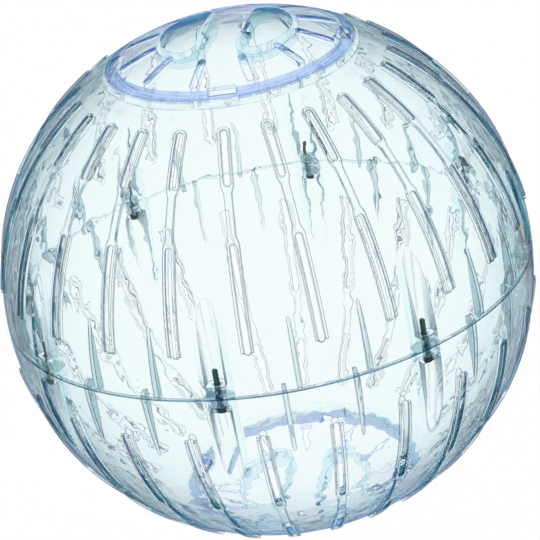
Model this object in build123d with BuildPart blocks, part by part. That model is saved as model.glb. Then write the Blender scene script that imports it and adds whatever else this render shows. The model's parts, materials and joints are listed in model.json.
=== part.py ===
"""A clear hamster ball: two slotted half shells held by eight screws, with a lid in each pole.

Millimetres, +Z up through the lids, origin at the centre of the ball, front towards -Y.
"""

import os
from math import cos, radians, sin, sqrt

from build123d import *

# Ball and wall
ball_diameter = 177.0
wall = 2.0

# Slot lines, which run from the seam towards each lid
line_count = 24
long_slot_start = 9.2
long_slot_end = 31.0
short_slot_start = 42.7
short_slot_end = 55.0
slot_width = 2.1
rail_width = 0.9
rail_height = 0.9
rail_end_gap = 0.4
rib_width = 2.4
rib_flare = 2.4

# Screws and the recesses that they stand in
screw_count = 8
screw_inset = 2.8
screw_diameter = 2.0
screw_rise = 5.0
screw_point = 0.3
head_diameter = 3.2
head_height = 1.5
head_chamfer = 0.4
drive_width = 0.5
drive_length = 1.9
drive_depth = 0.7
recess_width = 6.4
recess_wall = 1.8
boss_height = 4.3
counterbore_diameter = 3.8
counterbore_depth = 0.4
pilot_clearance = 0.05
shank_clearance = 0.15

# Posts inside the wall, on the places between the slot lines that have no screw
post_width = 1.5
post_depth = 3.1
post_nose_radius = 0.5
post_offset = 1.6
tab_rise = 1.4
tab_clearance = 0.3
tab_end_radius = 1.2

# Lid and its seat
lid_diameter = 80.8
lid_clearance = 0.3
lid_wall = 2.0
lid_edge = 1.1
lid_rim_width = 4.0
ledge_thickness = 1.8
lug_count = 4
lug_angle = 7.5
lug_width = 8.8
lug_wall = 1.5
lug_foot = 3.0
lug_foot_height = 1.6
lug_clearance = 0.4

# Finger pockets and air slots of the lid
pocket_radius = 21.4
pocket_corner = 4.0
pocket_wall = 1.4
pocket_depth = 6.5
grip_width = 14.6
lid_slot_count = 12
lid_slot_angle = 22.5
lid_slot_inner = 23.2
lid_slot_outer = 35.6
lid_slot_width = 2.4

# Sizes that follow
outer_radius = ball_diameter / 2
inner_radius = outer_radius - wall
rail_radius = outer_radius + rail_height
line_pitch = 360 / line_count
line_angle = line_pitch / 2
screw_pitch = 360 / screw_count
screw_circle = outer_radius - screw_inset
recess_radius = recess_width / 2
recess_top = outer_radius
head_seat = counterbore_depth - boss_height
post_nose = inner_radius - post_depth
post_back = inner_radius + wall / 2
lid_radius = lid_diameter / 2
opening_radius = lid_radius + lid_clearance
lid_inner_radius = outer_radius - lid_wall
rim_inner = lid_radius - lid_rim_width
seat_height = sqrt(outer_radius**2 - lid_radius**2) - lid_edge
ledge_bottom = seat_height - ledge_thickness
ledge_inner = rim_inner + lid_clearance
lug_outer = rim_inner - lug_clearance + lug_foot
lug_leg_outer = rim_inner - lug_clearance
lug_leg_inner = lug_leg_outer - lug_wall
foot_top = ledge_bottom - lug_clearance
foot_bottom = foot_top - lug_foot_height
pocket_floor = outer_radius - pocket_depth

# Slot lines are drawn on a plane that faces out at the middle of the line
line_start = long_slot_start
line_end = short_slot_end
line_middle = (line_start + line_end) / 2
line_depth = outer_radius * (1 - cos(radians(line_end - line_middle))) + 2 * wall + rail_height
line_plane = Plane(
    origin=(
        (rail_radius - line_depth) * cos(radians(line_middle)),
        0,
        (rail_radius - line_depth) * sin(radians(line_middle)),
    ),
    x_dir=(-sin(radians(line_middle)), 0, cos(radians(line_middle))),
    z_dir=(cos(radians(line_middle)), 0, sin(radians(line_middle))),
)


def along_line(latitude):
    """Distance along the slot line's plane of a latitude on the outer face."""
    return outer_radius * sin(radians(latitude - line_middle))


def post_places():
    """Places of the posts: between each pair of screws, a little to one side."""
    places = []
    for screw in range(screw_count):
        for step in range(1, line_count // screw_count):
            places.append(Rotation(0, 0, screw * screw_pitch + step * line_pitch + post_offset))
    return places


# Rail: the raised outline round the two slots of a line, drawn in to a rib between them
rail_half = slot_width / 2 + rail_width
rib_half = rib_width / 2
rail_open_end = along_line(long_slot_start) + rail_end_gap
round_end = along_line(short_slot_end) - slot_width / 2
with BuildPart() as rail:
    with BuildSketch(line_plane):
        with BuildLine():
            edge = Polyline(
                (rail_open_end, 0),
                (rail_open_end, rail_half),
                (along_line(long_slot_end), rail_half),
                (along_line(long_slot_end) + rib_flare, rib_half),
                (along_line(short_slot_start) - rib_flare, rib_half),
                (along_line(short_slot_start), rail_half),
                (round_end, rail_half),
            )
            RadiusArc(edge @ 1, (round_end + rail_half, 0), rail_half)
            mirror(about=Plane.XZ)
        make_face()
    extrude(amount=line_depth + rail_height)
    Sphere(rail_radius, mode=Mode.INTERSECT)
    Sphere(outer_radius - wall / 2, mode=Mode.SUBTRACT)

# Slots of one line, cut through rail and wall
with BuildPart() as line_slots:
    with BuildSketch(line_plane):
        for low, high in ((long_slot_start, long_slot_end), (short_slot_start, short_slot_end)):
            length = along_line(high) - along_line(low)
            with Locations(((along_line(high) + along_line(low)) / 2, 0)):
                SlotOverall(length, slot_width)
    extrude(amount=line_depth + rail_height)

# Recess block: the wall that stands inside the ball round a screw recess
with BuildPart() as recess_block:
    with BuildSketch():
        with Locations((screw_circle, 0)):
            Circle(recess_radius + recess_wall)
            Rectangle(
                screw_inset,
                recess_width + 2 * recess_wall,
                align=(Align.MIN, Align.CENTER),
            )
    extrude(amount=recess_top)
    Sphere(outer_radius - wall / 2, mode=Mode.INTERSECT)

# Recess: the upright channel, open to the outside, that a screw is driven along
with BuildPart() as recess:
    with BuildSketch(Plane.XY.offset(boss_height)):
        with Locations((screw_circle, 0)):
            Circle(recess_radius)
            Rectangle(
                screw_inset + 2 * rail_height,
                recess_width,
                align=(Align.MIN, Align.CENTER),
            )
    extrude(amount=recess_top)

# Notch in the lid's ledge, which lets a lug pass
with BuildPart() as ledge_notch:
    with BuildSketch(Plane.XY.offset(ledge_bottom - ledge_thickness)):
        with Locations((rim_inner, 0)):
            Rectangle(
                lug_outer + lug_clearance - rim_inner,
                lug_width + 2 * lug_clearance,
                align=(Align.MIN, Align.CENTER),
            )
    extrude(amount=2 * ledge_thickness + lid_clearance)

# Post: an upright rib inside the wall, drawn in to a narrow nose
with BuildPart() as post:
    with BuildSketch() as post_section:
        with BuildLine():
            nose = CenterArc((post_nose + post_nose_radius, 0), post_nose_radius, 90, 180)
            Polyline(nose @ 0, (inner_radius, post_width / 2), (post_back, post_width / 2))
            Line((post_back, post_width / 2), (post_back, -post_width / 2))
            Polyline((post_back, -post_width / 2), (inner_radius, -post_width / 2), nose @ 1)
        make_face()
    extrude(amount=outer_radius)
    Sphere(inner_radius + wall / 2, mode=Mode.INTERSECT)

# Tab: the end of a post, which passes the seam inside the wall of the other half
with BuildPart() as tab:
    add(post_section.sketch)
    extrude(amount=-tab_rise)
    with BuildSketch(Plane.XZ) as tab_side:
        with Locations((post_nose, 0)):
            Rectangle(
                post_depth - tab_clearance,
                2 * tab_rise,
                align=(Align.MIN, Align.CENTER),
            )
        fillet(tab_side.vertices().group_by(Axis.Z)[0], tab_end_radius)
    extrude(amount=post_width, both=True, mode=Mode.INTERSECT)

# Half: what both shells share, drawn as the upper one
opening_top = sqrt(outer_radius**2 - opening_radius**2)
ledge_root = sqrt(inner_radius**2 - ledge_bottom**2)
with BuildPart() as half:
    with BuildSketch(Plane.XZ):
        with BuildLine():
            RadiusArc((outer_radius, 0), (opening_radius, opening_top), -outer_radius)
            Polyline(
                (opening_radius, opening_top),
                (opening_radius, seat_height),
                (ledge_inner, seat_height),
                (ledge_inner, ledge_bottom),
                (ledge_root, ledge_bottom),
            )
            RadiusArc((ledge_root, ledge_bottom), (inner_radius, 0), inner_radius)
            Line((inner_radius, 0), (outer_radius, 0))
        make_face()
    revolve(axis=Axis.Z)
    with PolarLocations(0, line_count, start_angle=line_angle):
        add(rail.part)
    with PolarLocations(0, screw_count):
        add(recess_block.part)
    with PolarLocations(0, line_count, start_angle=line_angle):
        add(line_slots.part, mode=Mode.SUBTRACT)
    with PolarLocations(0, screw_count):
        add(recess.part, mode=Mode.SUBTRACT)
    with PolarLocations(0, lug_count, start_angle=lug_angle):
        add(ledge_notch.part, mode=Mode.SUBTRACT)
    with Locations(*post_places()):
        add(post.part)
        add(tab.part)

# Upper shell: a half with pilot holes for the screws
with BuildPart() as upper_shell:
    add(half.part)
    with PolarLocations(screw_circle, screw_count):
        Cylinder(
            screw_diameter / 2 + pilot_clearance,
            boss_height,
            align=(Align.CENTER, Align.CENTER, Align.MIN),
            mode=Mode.SUBTRACT,
        )

# Lower shell: the same half turned over, with seats for the screw heads
with BuildPart() as lower_shell:
    add(half.part, rotation=(180, 0, 0))
    with Locations(Plane.XY.rotated((180, 0, 0)).offset(boss_height)):
        with PolarLocations(screw_circle, screw_count):
            CounterBoreHole(
                screw_diameter / 2 + shank_clearance,
                counterbore_diameter / 2,
                counterbore_depth,
                boss_height,
            )

# Finger pocket: half a disc beside the grip, with rounded corners
with BuildSketch() as pocket_outline:
    Circle(pocket_radius)
    with Locations((grip_width / 2, 0)):
        Rectangle(
            pocket_radius,
            2 * pocket_radius,
            align=(Align.MIN, Align.CENTER),
            mode=Mode.INTERSECT,
        )
    fillet(pocket_outline.vertices(), pocket_corner)

# Lug: a leg under the lid with a foot that turns under the ledge
with BuildPart() as lug:
    leg_top = sqrt((outer_radius - lid_wall / 2) ** 2 - lug_leg_outer**2)
    with BuildSketch(Plane.XZ):
        with BuildLine():
            Polyline(
                (lug_leg_inner, leg_top),
                (lug_leg_outer, leg_top),
                (lug_leg_outer, foot_top),
                (lug_outer, foot_top),
                (lug_outer, foot_bottom),
                (lug_leg_inner, foot_bottom),
                close=True,
            )
        make_face()
    extrude(amount=lug_width / 2, both=True)

# Window in the lid's rim above each foot, which lets the mould form the foot's top
with BuildPart() as lug_window:
    with BuildSketch(Plane.XY.offset(foot_top)):
        with Locations((lug_leg_outer, 0)):
            Rectangle(lug_foot, lug_width, align=(Align.MIN, Align.CENTER))
    extrude(amount=outer_radius - foot_top)

# Lid: a cap flush with the ball, with two finger pockets, air slots and four lugs
rim_top = sqrt(outer_radius**2 - lid_radius**2)
rim_root = sqrt(lid_inner_radius**2 - rim_inner**2)
with BuildPart() as top_lid:
    with BuildSketch(Plane.XZ):
        with BuildLine():
            RadiusArc((0, outer_radius), (lid_radius, rim_top), outer_radius)
            Polyline(
                (lid_radius, rim_top),
                (lid_radius, seat_height),
                (rim_inner, seat_height),
                (rim_inner, rim_root),
            )
            RadiusArc((rim_inner, rim_root), (0, lid_inner_radius), -lid_inner_radius)
            Line((0, lid_inner_radius), (0, outer_radius))
        make_face()
    revolve(axis=Axis.Z)
    with BuildSketch(Plane.XY.offset(pocket_floor - pocket_wall)):
        for side in (0, 180):
            with Locations(Rotation(0, 0, side)):
                add(offset(pocket_outline.sketch, pocket_wall, mode=Mode.PRIVATE))
    extrude(amount=pocket_depth - lid_wall / 2)
    Sphere(outer_radius, mode=Mode.INTERSECT)
    with BuildSketch(Plane.XY.offset(pocket_floor)):
        for side in (0, 180):
            with Locations(Rotation(0, 0, side)):
                add(pocket_outline.sketch)
    extrude(amount=pocket_depth, mode=Mode.SUBTRACT)
    with BuildSketch(Plane.XY.offset(foot_bottom)):
        with PolarLocations(
            (lid_slot_inner + lid_slot_outer) / 2, lid_slot_count, start_angle=lid_slot_angle
        ):
            SlotOverall(lid_slot_outer - lid_slot_inner, lid_slot_width)
    extrude(until=Until.LAST, mode=Mode.SUBTRACT)
    with PolarLocations(0, lug_count, start_angle=lug_angle):
        add(lug.part)
        add(lug_window.part, mode=Mode.SUBTRACT)

# The lower lid is the same moulding turned over
with BuildPart() as bottom_lid:
    add(top_lid.part, rotation=(180, 0, 0))

# Screw: a pan head under the lower boss, with its thread end standing above the upper one
screw_end = boss_height + screw_rise
with BuildPart() as screw:
    with BuildSketch(Plane.XZ):
        with BuildLine():
            Polyline(
                (0, screw_end),
                (screw_diameter / 2 - screw_point, screw_end),
                (screw_diameter / 2, screw_end - screw_point),
                (screw_diameter / 2, head_seat),
                (head_diameter / 2, head_seat),
                (head_diameter / 2, head_seat - head_height),
                (0, head_seat - head_height),
                close=True,
            )
        make_face()
    revolve(axis=Axis.Z)
    chamfer(screw.edges().filter_by(GeomType.CIRCLE).group_by(Axis.Z)[0], head_chamfer)
    with BuildSketch(Plane.XY.offset(head_seat - head_height)):
        Rectangle(drive_length, drive_width)
        Rectangle(drive_width, drive_length)
    extrude(amount=drive_depth, mode=Mode.SUBTRACT)

pieces = {
    "upper_shell": upper_shell.part,
    "lower_shell": lower_shell.part,
    "top_lid": top_lid.part,
    "bottom_lid": bottom_lid.part,
}
for number in range(1, screw_count + 1):
    turn = Rotation(0, 0, (number - 1) * screw_pitch)
    pieces[f"screw_{number}"] = turn * Pos(screw_circle, 0, 0) * screw.part

os.makedirs("parts", exist_ok=True)
for name, piece in pieces.items():
    piece.label = name
    export_step(piece, f"parts/{name}.step")
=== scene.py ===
import json
import math
import bpy
import bmesh
from mathutils import Matrix, Vector

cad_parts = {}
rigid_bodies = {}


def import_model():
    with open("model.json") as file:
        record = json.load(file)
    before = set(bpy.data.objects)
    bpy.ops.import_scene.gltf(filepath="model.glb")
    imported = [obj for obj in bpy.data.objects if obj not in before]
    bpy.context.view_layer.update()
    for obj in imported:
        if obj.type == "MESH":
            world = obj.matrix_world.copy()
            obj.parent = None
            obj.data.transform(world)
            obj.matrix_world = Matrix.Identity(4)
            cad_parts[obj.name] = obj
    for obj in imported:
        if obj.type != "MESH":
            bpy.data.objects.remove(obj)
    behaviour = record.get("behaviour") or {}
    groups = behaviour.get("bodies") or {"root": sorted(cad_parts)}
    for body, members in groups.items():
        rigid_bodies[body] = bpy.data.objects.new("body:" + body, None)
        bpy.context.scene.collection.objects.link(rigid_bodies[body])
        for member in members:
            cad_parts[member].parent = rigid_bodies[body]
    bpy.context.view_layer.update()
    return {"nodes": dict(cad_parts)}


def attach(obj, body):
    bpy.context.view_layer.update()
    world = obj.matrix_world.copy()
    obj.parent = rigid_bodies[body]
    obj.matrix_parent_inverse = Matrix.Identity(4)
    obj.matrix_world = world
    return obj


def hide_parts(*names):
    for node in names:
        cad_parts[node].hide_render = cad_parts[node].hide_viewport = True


for spare in list(bpy.data.objects):  # the start-up cube, lamp and camera
    bpy.data.objects.remove(spare)
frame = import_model()
scene = bpy.context.scene
scene.view_settings.view_transform = "Standard"
scene.cycles.max_bounces = 32  # a ray meets many clear walls
scene.cycles.transmission_bounces = 32
scene.cycles.transparent_max_bounces = 64
print("frame loaded:", len(frame["nodes"]), "nodes")


class Wire:  # a socket that can stand in a sum
    def __init__(self, finish, socket):
        self.finish = finish
        self.socket = socket

    def sum(self, operation, first, second):
        return self.finish.node("ShaderNodeMath", {"operation": operation}, {0: first, 1: second})

    def __add__(self, other):
        return self.sum("ADD", self, other)

    def __radd__(self, other):
        return self.sum("ADD", other, self)

    def __sub__(self, other):
        return self.sum("SUBTRACT", self, other)

    def __rsub__(self, other):
        return self.sum("SUBTRACT", other, self)

    def __mul__(self, other):
        return self.sum("MULTIPLY", self, other)

    def __rmul__(self, other):
        return self.sum("MULTIPLY", other, self)

    def __pow__(self, other):
        return self.sum("POWER", self, other)

    def __rpow__(self, other):
        return self.sum("POWER", other, self)

    def __abs__(self):
        return self.sum("ABSOLUTE", self, 0.0)


class Finish:  # one material or world, built node by node
    def __init__(self, owner):
        owner.use_nodes = True
        self.tree = owner.node_tree
        self.tree.nodes.clear()

    def node(self, kind, settings=None, sockets=None, out=0):
        made = self.tree.nodes.new(kind)
        for key, value in (settings or {}).items():
            setattr(made, key, value)
        for key, value in (sockets or {}).items():
            if isinstance(value, Wire):
                self.tree.links.new(value.socket, made.inputs[key])
            elif isinstance(value, tuple) and made.inputs[key].type == "RGBA":
                made.inputs[key].default_value = (*value, 1)
            else:
                made.inputs[key].default_value = value
        return Wire(self, made.outputs[out]) if made.outputs else made


white = (1.0, 1.0, 1.0)
softEdge = 0.0001  # how far a mask fades to each side of its border, in metres
bevelSamples = 4


def limit(value):  # keeps a mask between 0 and 1
    return value.finish.node("ShaderNodeClamp", {}, {"Value": value})


def above(value, level, fade=softEdge):  # 1 where a value is over a level
    return limit((value - (level - fade)) * (0.5 / fade))


def below(value, level, fade=softEdge):
    return 1 - above(value, level, fade)


def zone(spot, look, name):  # 1 in a named part of the ball, 0 outside it
    masks = []
    for measure, (low, high, *fade) in look["zones"][name].items():
        if low is not None:
            masks.append(above(spot[measure], low, *fade))
        if high is not None:
            masks.append(below(spot[measure], high, *fade))
    whole = masks[0]
    for mask in masks[1:]:
        whole = whole * mask
    return whole


def noise(f, place, scale, detail):
    return f.node("ShaderNodeTexNoise", {}, {"Vector": place, "Scale": scale, "Detail": detail})


def dot(f, first, second):
    return f.node("ShaderNodeVectorMath", {"operation": "DOT_PRODUCT"}, {0: first, 1: second}, out="Value")


def mixColour(f, share, first, second):
    return f.node("ShaderNodeMix", {"data_type": "RGBA"}, {0: share, 6: first, 7: second}, out=2)


def layer(f, share, under, over):
    return f.node("ShaderNodeMixShader", {}, {0: share, 1: under, 2: over})


def tinted(f, share, film, colour):  # a clear film over another that only tints what is behind it
    return layer(f, share, film, f.node("ShaderNodeBsdfTransparent", {}, {"Color": colour}))


ballSizes = {  # metres, counts and shares
    "screwCount": 8, "screwCircle": 0.0857, "slotLines": 24,
    "midWall": 0.0875, "midWallFade": 0.0003, "insideWall": 0.0862,
    "sideStart": 1.4, "sideGain": 3,  # how square to the ball a side wall stands
    "sideNear": 0.7,  # how far a side wall counts as near
    "levelStart": 0.9, "levelFade": 0.02,  # how flat a level face lies
}


def ballPlace(f, ball):  # where on the ball a point lies
    place = f.node("ShaderNodeTexCoord", out="Object")
    aim = f.node("ShaderNodeTexCoord", out="Normal")
    x, y, z = (f.node("ShaderNodeSeparateXYZ", {}, {0: place}, out=axis) for axis in "XYZ")
    aimUp = f.node("ShaderNodeSeparateXYZ", {}, {0: aim}, out="Z")
    across = (x * x + y * y) ** 0.5
    angle = f.node("ShaderNodeMath", {"operation": "ARCTAN2"}, {0: y, 1: x})
    screwHalf = math.pi / ball["screwCount"]
    slotHalf = math.pi / ball["slotLines"]
    fromScrew = f.node("ShaderNodeMath", {"operation": "PINGPONG"}, {0: angle, 1: screwHalf})
    offSlots = f.node("ShaderNodeMath", {"operation": "PINGPONG"}, {0: angle, 1: slotHalf})
    beside = fromScrew * across
    around = ((across - ball["screwCircle"]) ** 2 + beside ** 2) ** 0.5
    reach = f.node("ShaderNodeVectorMath", {"operation": "LENGTH"}, {0: place}, out="Value")
    outward = f.node("ShaderNodeVectorMath", {"operation": "NORMALIZE"}, {0: place})
    outer = above(reach, ball["midWall"], ball["midWallFade"])
    inside = f.node("ShaderNodeNewGeometry", out="Backfacing")
    side = limit(ball["sideStart"] - ball["sideGain"] * abs(dot(f, outward, aim)))
    front = limit(outer + inside - 2 * outer * inside + below(reach, ball["insideWall"]))
    return {
        "place": place, "height": abs(z), "across": across, "reach": reach, "inside": inside,
        "side": side,  # walls that stand square to the ball
        "level": above(abs(aimUp), ball["levelStart"], ball["levelFade"]),
        "beside": beside,  # sideways from the nearest screw
        "aside": (slotHalf - offSlots) * across,  # sideways from the nearest line of slots
        "around": around,  # from the nearest screw's axis
        "near": front + side * (ball["sideNear"] - front),  # the wall met from outside
        "glance": f.node("ShaderNodeLayerWeight", {}, {"Blend": 0.5}, out="Facing"),
    }


plasticLook = {  # what the two plastics share
    "ior": 1.12, "coat": 0.3, "coatRoughness": 0.02,
    "waveScale": 120.0, "waveDetail": 1.5, "waveStrength": 0.6,
    "rubScale": 420.0, "rubDetail": 5.0, "rubLevel": 0.58, "rubGain": 0.3,
    "streakStretch": (1.0, 1.0, 0.4), "streakDetail": 2.0, "streakLevel": 0.4, "streakGain": 5,
    "sideClear": 0.7,  # how much of the painted grazing shade a wall square to the ball loses
    "farLine": 0.45,  # how strongly the painted edge shade lines of the far wall show
}


def clearPlastic(look):
    material = bpy.data.materials.new(look["name"])
    f = Finish(material)
    spot = ballPlace(f, ballSizes)
    glance = spot["glance"]
    # painted shade: edges found by the bevel get a dark line, standing in for the darkening that refraction
    # gives there
    rounded = f.node("ShaderNodeBevel", {"samples": bevelSamples}, {"Radius": look["edgeRadius"]})
    flat = f.node("ShaderNodeNewGeometry", out="Normal")
    edge = limit((1 - dot(f, rounded, flat)) * (look["edgeGain"] + glance * look["edgeSpread"]))
    flow = noise(f, spot["place"], look["waveScale"], look["waveDetail"])
    waved = f.node("ShaderNodeBump", {}, {
        "Height": flow, "Normal": rounded, "Strength": look["waveStrength"], "Distance": look["waveDepth"]})
    rub = noise(f, spot["place"], look["rubScale"], look["rubDetail"])
    glass = f.node("ShaderNodeBsdfPrincipled", {}, {
        "Base Color": white, "Transmission Weight": 1.0, "IOR": look["ior"],
        "Roughness": limit((rub - look["rubLevel"]) * look["rubGain"]),
        "Coat Weight": look["coat"], "Coat Roughness": look["coatRoughness"], "Normal": waved})
    still = look["still"](spot, look)
    film = tinted(f, still, glass, white)
    # painted shade: walls square to the ball are tinted with the flank shade colour
    film = tinted(f, spot["side"] * look["flankShare"] * (1 - still), film, look["flankShade"])
    film = look["extra"](f, spot, look, film)
    stretched = f.node("ShaderNodeVectorMath", {"operation": "MULTIPLY"}, {
        0: spot["place"], 1: look["streakStretch"]})
    streak = noise(f, stretched, look["streakScale"], look["streakDetail"])
    patch = limit((streak - look["streakLevel"]) * look["streakGain"])
    # painted shade: faces seen at a glancing angle are tinted darker, in noise streaks of two shades
    slant = limit(glance ** look["glancePower"] * look["glanceGain"]) * look["glanceShare"]
    slant = slant * (1 - spot["side"] * look["sideClear"]) * (1 - still)
    film = tinted(f, slant * (1 - patch), film, look["grazingShade"])
    film = tinted(f, slant * patch, film, look["deepGrazingShade"])
    # painted shade: the edge lines, fainter on the far wall and left off in the undrawn zones
    faint = look["farLine"] + (1 - look["farLine"]) * spot["near"]
    line = limit(edge * look["edgeShare"] * faint * drawnShare(spot, look))
    film = tinted(f, line, film, look["edge"])
    tint = f.node("ShaderNodeVolumeAbsorption", {}, {"Color": look["tint"], "Density": look["density"]})
    f.node("ShaderNodeOutputMaterial", {}, {"Surface": film, "Volume": tint})
    return material


def drawnShare(spot, look):  # how much of an edge gets its painted shade line
    share = 1
    for name, lost in look["undrawn"].items():
        share = share * (1 - zone(spot, look, name) * lost)
    return share


def shellStill(spot, look):  # faces that hardly show, so light goes straight through them
    slot = spot["side"] * zone(spot, look, "slotWall") * look["slotStill"]
    post = spot["side"] * zone(spot, look, "postSide") * look["postStill"]
    boss = spot["level"] * zone(spot, look, "bossTop")
    well = spot["side"] * zone(spot, look, "wellWall") * look["wellStill"]
    ledge = zone(spot, look, "ledge") * (1 - zone(spot, look, "innerSkin"))
    plain = zone(spot, look, "seamFace") + zone(spot, look, "blockBack")
    return limit(plain + slot + post + boss + well + ledge) * look["stillShare"]


def shellExtra(f, spot, look, film):  # painted shade on recess walls, rails, posts and bosses, the seam lines, and a painted reflection in the screw bores
    mottle = noise(f, spot["place"], look["mottleScale"], look["mottleDetail"])
    cloud = limit((mottle - look["cloudLevel"]) * look["cloudGain"])
    # painted shade: the recess walls are darkened, more where seen at a glancing angle
    leg = spot["side"] * zone(spot, look, "recessWall") * (1 - spot["level"])
    film = tinted(f, leg * (look["legShare"] + look["legSlant"] * spot["glance"]), film, look["legShade"])
    # painted shade: the rail flanks are darkened, less on the rib
    rail = spot["side"] * zone(spot, look, "railFlank") * (1 - spot["inside"])
    railShare = look["railShare"] - look["ribLoss"] * zone(spot, look, "rib")
    film = tinted(f, rail * railShare, film, look["railShade"])
    film = tinted(f, zone(spot, look, "seamEdge") * look["seamShare"], film, look["seamTint"])
    groove = zone(spot, look, "groove") * spot["near"]
    film = tinted(f, groove * look["grooveShare"], film, look["grooveTint"])
    # painted shade: the post walls are tinted, with darker painted lines at their root and back
    post = spot["side"] * zone(spot, look, "post")
    film = tinted(f, post * look["postShare"], film, look["postShade"])
    postEdge = post * limit(zone(spot, look, "postRoot") + zone(spot, look, "postBack"))
    film = tinted(f, postEdge * look["postShare"], film, look["postEdgeShade"])
    # painted shade: the front of each boss is darkened in mottled clouds
    boss = zone(spot, look, "bossFront") * (look["bossShare"] + look["bossCloud"] * cloud)
    film = tinted(f, boss, film, look["bossShade"])
    # painted reflection: the plastic screw bores are made a mottled mirror metal where seen at a glancing
    # angle
    shine = mixColour(f, cloud, look["boreBright"], look["boreDark"])
    boreMirror = f.node("ShaderNodeBsdfPrincipled", {}, {
        "Base Color": shine, "Metallic": 1.0, "Roughness": look["boreRoughness"]})
    return layer(f, zone(spot, look, "bore") * limit(spot["glance"] * look["boreGain"]), film, boreMirror)


shellLook = {
    **plasticLook,
    "name": "shellPlastic", "nodes": ("upper_shell", "lower_shell"),
    "still": shellStill, "extra": shellExtra,
    # the flank, edge, grazing, leg, rail, post and boss colours below are painted shade, the bore colours a
    # painted reflection
    "flankShade": (0.75, 0.87, 0.92), "flankShare": 0.2,
    "edge": (0.04, 0.12, 0.18), "edgeRadius": 0.00036,
    "edgeGain": 27.0, "edgeSpread": 2.0, "edgeShare": 0.97,
    "grazingShade": (0.27, 0.66, 0.71), "deepGrazingShade": (0.08, 0.25, 0.5), "streakScale": 150.0,
    "glancePower": 4.5, "glanceGain": 1.6, "glanceShare": 0.78,
    "tint": (0.48, 0.88, 0.89), "density": 50.0, "waveDepth": 0.0008,
    "slotStill": 0.85, "postStill": 0.6, "wellStill": 0.9, "stillShare": 0.95,
    "mottleScale": 800.0, "mottleDetail": 3.0, "cloudLevel": 0.42, "cloudGain": 6,
    "legShade": (0.08, 0.2, 0.32), "legShare": 0.4, "legSlant": 0.6,
    "railShade": (0.07, 0.17, 0.36), "railShare": 0.7, "ribLoss": 0.35,
    "seamTint": (0.64, 0.78, 0.86), "seamShare": 0.3, "grooveTint": (0.22, 0.42, 0.6), "grooveShare": 0.8,
    "postShade": (0.6, 0.74, 0.79), "postEdgeShade": (0.1, 0.2, 0.27), "postShare": 0.75,
    "bossShade": (0.13, 0.28, 0.42), "bossShare": 0.25, "bossCloud": 0.55,
    "boreBright": (0.9, 0.96, 0.97), "boreDark": (0.2, 0.36, 0.44), "boreRoughness": 0.3, "boreGain": 4,
    "undrawn": {"insideSeam": 0.9, "parting": 0.65, "blockLine": 0.9, "collar": 0.8, "recessTip": 0.7},
    "zones": {  # a measure's low and high end, None where it is open, and the fade where it isn't softEdge
        "seamFace": {"height": (None, 0.0003, 0.00005), "across": (None, 0.0882)},
        "seamEdge": {"height": (None, 0.0003, 0.00005), "across": (0.0876, None)},
        "groove": {"height": (None, 0.00026, 0.00008), "reach": (0.0884, None)},
        "insideSeam": {"height": (None, 0.0008), "reach": (0.0862, 0.0876)},
        "parting": {"height": (None, 0.0008), "reach": (0.0876, None), "beside": (0.0034, None)},
        "blockBack": {"around": (0.0045, 0.0055), "reach": (None, 0.0866)},
        "blockLine": {"around": (0.0043, 0.0057), "reach": (None, 0.0875, 0.0003)},
        "recessWall": {"beside": (0.0028, 0.0042), "height": (None, 0.016, 0.011)},
        "recessTip": {"height": (0.02, None, 0.006), "beside": (None, 0.0042)},
        "wellWall": {"beside": (None, 0.0042), "height": (0.0044, None)},
        "bossTop": {"beside": (None, 0.0055), "height": (None, 0.0048)},
        "bossFront": {"beside": (None, 0.0033), "height": (None, 0.0044), "reach": (0.088, None)},
        "bore": {"around": (None, 0.0016), "height": (None, 0.0046)},
        "slotWall": {"aside": (None, 0.0026), "reach": (0.0863, None)},
        "railFlank": {"aside": (None, 0.0015), "reach": (0.0885, None)},
        "rib": {"height": (0.0456, 0.06, 0.0004)},
        "postSide": {"reach": (None, 0.0864), "beside": (0.006, None)},
        "post": {"reach": (None, 0.0866), "beside": (0.006, None)},
        "postRoot": {"reach": (0.0861, None)},
        "postBack": {"reach": (None, 0.0838)},
        "ledge": {"height": (0.0745, None), "reach": (None, 0.0884)},
        "innerSkin": {"reach": (0.0863, 0.0867)},
        "collar": {"height": (0.0745, None, 0.0003)},
    },
}


def lidStill(spot, look):  # the lugs, pocket floors, side walls and the outside of the rim
    floor = spot["level"] * zone(spot, look, "pocketFloor")
    return limit(zone(spot, look, "foot") + floor + spot["side"] + zone(spot, look, "rimOutside"))


def lidExtra(f, spot, look, film):  # painted shade on the pocket walls, slot walls and the band over the thick rim
    # painted shade: the pocket and slot walls of the lid are tinted
    pocket = spot["side"] * zone(spot, look, "pocketWall")
    film = tinted(f, pocket * look["pocketShare"], film, look["pocketShade"])
    slot = spot["side"] * zone(spot, look, "slotWall")
    film = tinted(f, slot * look["slotShare"], film, look["slotShade"])
    # painted shade: the band over the rim is tinted blue, more on its near side, and grey where its far
    # side is seen
    band = zone(spot, look, "rimBand")
    film = tinted(f, band * (1 - spot["near"]) * look["farBandShare"], film, look["farBandShade"])
    return tinted(f, band * (look["bandShare"] + look["bandNear"] * spot["near"]), film, look["bandShade"])


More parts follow.
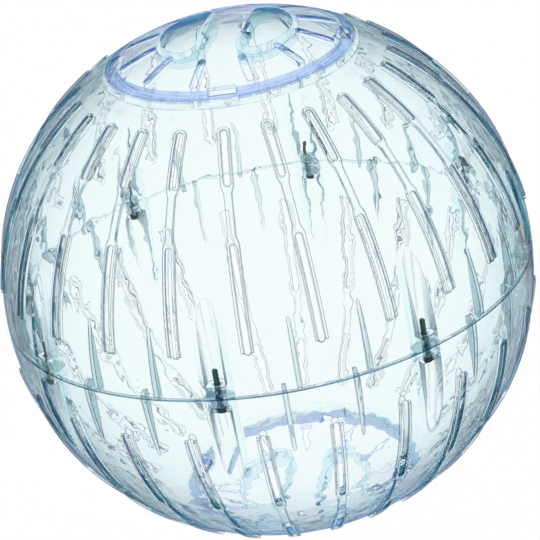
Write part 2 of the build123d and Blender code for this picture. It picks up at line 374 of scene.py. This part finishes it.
lidLook = {
    **plasticLook,
    "name": "lidPlastic", "nodes": ("top_lid", "bottom_lid"),
    "still": lidStill, "extra": lidExtra,
    # the flank, edge, grazing, pocket, slot and band colours below are painted shade
    "flankShade": (0.64, 0.77, 0.97), "flankShare": 0.35,
    "edge": (0.2, 0.32, 0.68), "edgeRadius": 0.0003,
    "edgeGain": 18.0, "edgeSpread": 8.0, "edgeShare": 0.85,
    "grazingShade": (0.42, 0.74, 0.8), "deepGrazingShade": (0.3, 0.4, 0.86), "streakScale": 90.0,
    "glancePower": 6.0, "glanceGain": 1.8, "glanceShare": 0.7,
    "tint": (0.45, 0.85, 0.97), "density": 30.0, "waveDepth": 0.0006,
    "pocketShade": (0.5, 0.8, 0.84), "pocketShare": 0.35, "slotShade": (0.3, 0.45, 0.85), "slotShare": 0.7,
    "bandShade": (0.42, 0.6, 1.0), "bandShare": 0.42, "bandNear": 0.2,
    "farBandShade": (0.3, 0.4, 0.46), "farBandShare": 0.6,
    "undrawn": {"foot": 0.85},
    "zones": {
        "foot": {"height": (None, 0.0779)},
        "pocketFloor": {"across": (None, 0.0232), "height": (None, 0.0826)},
        "pocketWall": {"across": (None, 0.023)},
        "slotWall": {"across": (0.023, None), "reach": (0.0877, None)},
        "rimOutside": {"across": (0.0402, None), "reach": (None, 0.0883)},
        "rimBand": {"across": (0.0369, None), "reach": (0.0882, None)},
    },
}
for look in (shellLook, lidLook):
    plastic = clearPlastic(look)
    for name in look["nodes"]:
        mesh = frame["nodes"][name].data
        mesh.materials.clear()
        mesh.materials.append(plastic)
print("plastic on the shells and lids")

screwLook = {
    "low": -0.0039, "high": 0.0093, "point": 0.0004, "pointShare": 0.7,
    "crest": 0.0010, "core": 0.00082, "pitch": 0.0009, "flankShare": 0.34,
    "aroundThread": 32, "ringsPerTurn": 8, "sharpAngle": 38,
    "headRadius": 0.0016, "headHeight": 0.0015, "seatShare": 0.94, "seatEdge": 0.00012,
    "headRound": 0.0004, "roundSteps": 5,
    "crossLength": 0.00095, "crossWidth": 0.00025, "crossDepth": 0.0007, "crossTaper": 0.8,
    "steel": (0.02, 0.1, 0.075), "worn": (0.08, 0.22, 0.18), "metallic": 0.4, "edgeRadius": 0.0001,
    "grainScale": 1800.0, "grainDetail": 3.0, "edgeWear": 5, "grainLevel": 0.55, "grainWear": 0.8,
    "roughness": 0.28, "roughGrain": 0.25,
}


def screwSteel(look):
    material = bpy.data.materials.new("screwSteel")
    f = Finish(material)
    grain = noise(f, f.node("ShaderNodeTexCoord", out="Object"), look["grainScale"], look["grainDetail"])
    rounded = f.node("ShaderNodeBevel", {"samples": bevelSamples}, {"Radius": look["edgeRadius"]})
    flat = f.node("ShaderNodeNewGeometry", out="True Normal")
    edgeWear = (1 - dot(f, rounded, flat)) * look["edgeWear"]
    rubbed = limit(edgeWear + (grain - look["grainLevel"]) * look["grainWear"])
    metal = f.node("ShaderNodeBsdfPrincipled", {}, {
        "Base Color": mixColour(f, rubbed, look["steel"], look["worn"]), "Metallic": look["metallic"],
        "Roughness": look["roughness"] + grain * look["roughGrain"], "Normal": rounded})
    f.node("ShaderNodeOutputMaterial", {}, {"Surface": metal})
    return material


def ringOf(body, radii, height):  # a point for each radius, evenly round the axis
    ring = []
    for number, radius in enumerate(radii):
        angle = 2 * math.pi * number / len(radii)
        ring.append(body.verts.new((radius * math.cos(angle), radius * math.sin(angle), height)))
    return ring


def threadRadius(look, height, turn):  # turn is the share of a full turn
    fade = min(1.0, (look["high"] - height) / look["point"])  # the thread runs out in the point
    phase = (height / look["pitch"] - turn) % 1.0
    lift = max(0.0, 1 - abs(phase - 0.5) / look["flankShare"])
    radius = look["core"] + (look["crest"] - look["core"]) * lift
    return radius * (look["pointShare"] + (1 - look["pointShare"]) * fade)


def headProfile(look):  # radius and drop below the seat, from the shank outwards and down
    radius, rounding = look["headRadius"], look["headRound"]
    side = look["headHeight"] - rounding
    profile = [(radius * look["seatShare"], 0.0), (radius, look["seatEdge"]), (radius, side)]
    for step in range(1, look["roundSteps"] + 1):
        angle = math.pi / 2 * step / look["roundSteps"]
        profile.append((radius - rounding * (1 - math.cos(angle)), side + rounding * math.sin(angle)))
    return profile


def screwMesh(look):
    body = bmesh.new()
    around = look["aroundThread"]
    length = look["high"] - look["low"]
    ringCount = round(length / (look["pitch"] / look["ringsPerTurn"]))
    rings = []
    for level in range(ringCount + 1):
        height = look["low"] + length * level / ringCount
        rings.append(ringOf(body, [threadRadius(look, height, k / around) for k in range(around)], height))
    body.faces.new(rings[-1])
    head = [ringOf(body, [radius] * around, look["low"] - drop) for radius, drop in headProfile(look)]
    rows = head[::-1] + rings  # from the outside of the head up to the point
    for lower, upper in zip(rows, rows[1:]):
        for k in range(around):
            following = (k + 1) % around
            body.faces.new((lower[k], lower[following], upper[following], upper[k]))
    cross = cutCross(body, look)
    edges = []
    for loop in (rows[0], cross):  # the flat of the head lies between its rim and the cross
        edges += [body.edges.get((point, loop[(k + 1) % len(loop)])) for k, point in enumerate(loop)]
    bmesh.ops.triangle_fill(body, edges=edges, use_beauty=True, use_dissolve=False)
    bmesh.ops.recalc_face_normals(body, faces=body.faces)
    mesh = bpy.data.meshes.new("screw")
    body.to_mesh(mesh)
    body.free()
    mesh.shade_smooth()
    mesh.set_sharp_from_angle(angle=math.radians(look["sharpAngle"]))
    return mesh


def cutCross(body, look):  # the recess for the driver, returned as the loop of its mouth
    face = look["low"] - look["headHeight"]
    arm, half, taper = look["crossLength"], look["crossWidth"], look["crossTaper"]
    outline = [(arm, -half), (arm, half), (half, half), (half, arm), (-half, arm), (-half, half),
               (-arm, half), (-arm, -half), (-half, -half), (-half, -arm), (half, -arm), (half, -half)]
    mouth = [body.verts.new((x, y, face)) for x, y in outline]
    floor = [body.verts.new((x * taper, y * taper, face + look["crossDepth"])) for x, y in outline]
    for k in range(len(outline)):
        following = (k + 1) % len(outline)
        body.faces.new((mouth[k], floor[k], floor[following], mouth[following]))
    body.faces.new(floor[::-1])
    return mouth


thread = screwMesh(screwLook)
thread.materials.append(screwSteel(screwLook))
for number in range(1, ballSizes["screwCount"] + 1):
    turn = 2 * math.pi * (number - 1) / ballSizes["screwCount"]
    screw = bpy.data.objects.new(f"threadedScrew{number}", thread)
    scene.collection.objects.link(screw)
    outwards = Matrix.Translation((ballSizes["screwCircle"], 0, 0))
    screw.matrix_world = Matrix.Rotation(turn, 4, "Z") @ outwards
    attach(screw, "ball")
    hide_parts(f"screw_{number}")
print("screws cut:", ballSizes["screwCount"], "of", len(thread.polygons), "faces")

stageLook = {
    "floorHeight": -0.0885, "floorSize": 6.0, "floorColour": (0.93, 0.93, 0.93), "whiteShare": 0.985,
    "room": (0.4, 0.42, 0.44),
    "lamps": [
        {"name": "keyLamp", "place": (-0.9, -0.8, 1.1), "size": 0.9, "power": 7.0},
        {"name": "fillLamp", "place": (1.0, -0.5, 0.7), "size": 0.8, "power": 2.5},
        {"name": "backLamp", "place": (0.3, 1.0, 0.9), "size": 0.8, "power": 3.0},
    ],
}


def seenRay(f):  # 1 for what the camera sees, straight, mirrored or through the plastic
    rays = [f.node("ShaderNodeLightPath", out=name) for name in
            ("Is Camera Ray", "Is Glossy Ray", "Is Transmission Ray")]
    return limit(rays[0] + rays[1] + rays[2])


def floorWhite(look):
    material = bpy.data.materials.new("floorWhite")
    f = Finish(material)
    paint = f.node("ShaderNodeBsdfDiffuse", {}, {"Color": look["floorColour"]})
    plainWhite = f.node("ShaderNodeEmission", {}, {"Color": white, "Strength": 1.0})
    whole = layer(f, seenRay(f) * look["whiteShare"], paint, plainWhite)
    f.node("ShaderNodeOutputMaterial", {}, {"Surface": whole})
    return material


def buildStage(look):
    half = look["floorSize"] / 2
    corners = [(-half, -half, 0), (half, -half, 0), (half, half, 0), (-half, half, 0)]
    mesh = bpy.data.meshes.new("floor")
    mesh.from_pydata(corners, [], [(0, 1, 2, 3)])
    mesh.materials.append(floorWhite(look))
    floor = bpy.data.objects.new("floor", mesh)
    floor.location.z = look["floorHeight"]
    scene.collection.objects.link(floor)
    scene.world = bpy.data.worlds.new("studio")
    f = Finish(scene.world)
    shade = mixColour(f, seenRay(f), look["room"], white)
    sky = f.node("ShaderNodeBackground", {}, {"Color": shade, "Strength": 1.0})
    f.node("ShaderNodeOutputWorld", {}, {"Surface": sky})
    for lamp in look["lamps"]:
        light = bpy.data.lights.new(lamp["name"], "AREA")
        light.shape = "DISK"
        light.size = lamp["size"]
        light.energy = lamp["power"]
        stand = bpy.data.objects.new(lamp["name"], light)
        stand.location = lamp["place"]
        stand.visible_glossy = False
        stand.visible_transmission = False
        stand.rotation_euler = (-stand.location).to_track_quat("-Z", "Y").to_euler()
        scene.collection.objects.link(stand)


buildStage(stageLook)
print("stage lit by", len(stageLook["lamps"]), "lamps")

cameraLook = {
    "azimuth": 14.3, "elevation": 25.243, "roll": -9.938, "distance": 0.82681,
    "lens": 164.766, "sensor": 36.0, "shift": (0.003922, -0.001078), "clip": (0.01, 20.0),
}


def placeCamera(look):
    azimuth, elevation, roll = (math.radians(look[key]) for key in ("azimuth", "elevation", "roll"))
    back = Vector((math.sin(azimuth) * math.cos(elevation), -math.cos(azimuth) * math.cos(elevation),
                   math.sin(elevation)))
    level = Vector((math.cos(azimuth), math.sin(azimuth), 0))
    upright = back.cross(level)
    across = level * math.cos(roll) + upright * math.sin(roll)
    up = upright * math.cos(roll) - level * math.sin(roll)
    lens = bpy.data.cameras.new("camera")
    lens.sensor_width = look["sensor"]
    lens.lens = look["lens"]
    lens.shift_x, lens.shift_y = look["shift"]
    lens.clip_start, lens.clip_end = look["clip"]
    camera = bpy.data.objects.new("camera", lens)
    turn = Matrix((across, up, back)).transposed().to_4x4()
    turn.translation = back * look["distance"]
    camera.matrix_world = turn
    scene.collection.objects.link(camera)
    scene.camera = camera


placeCamera(cameraLook)
print("camera placed")
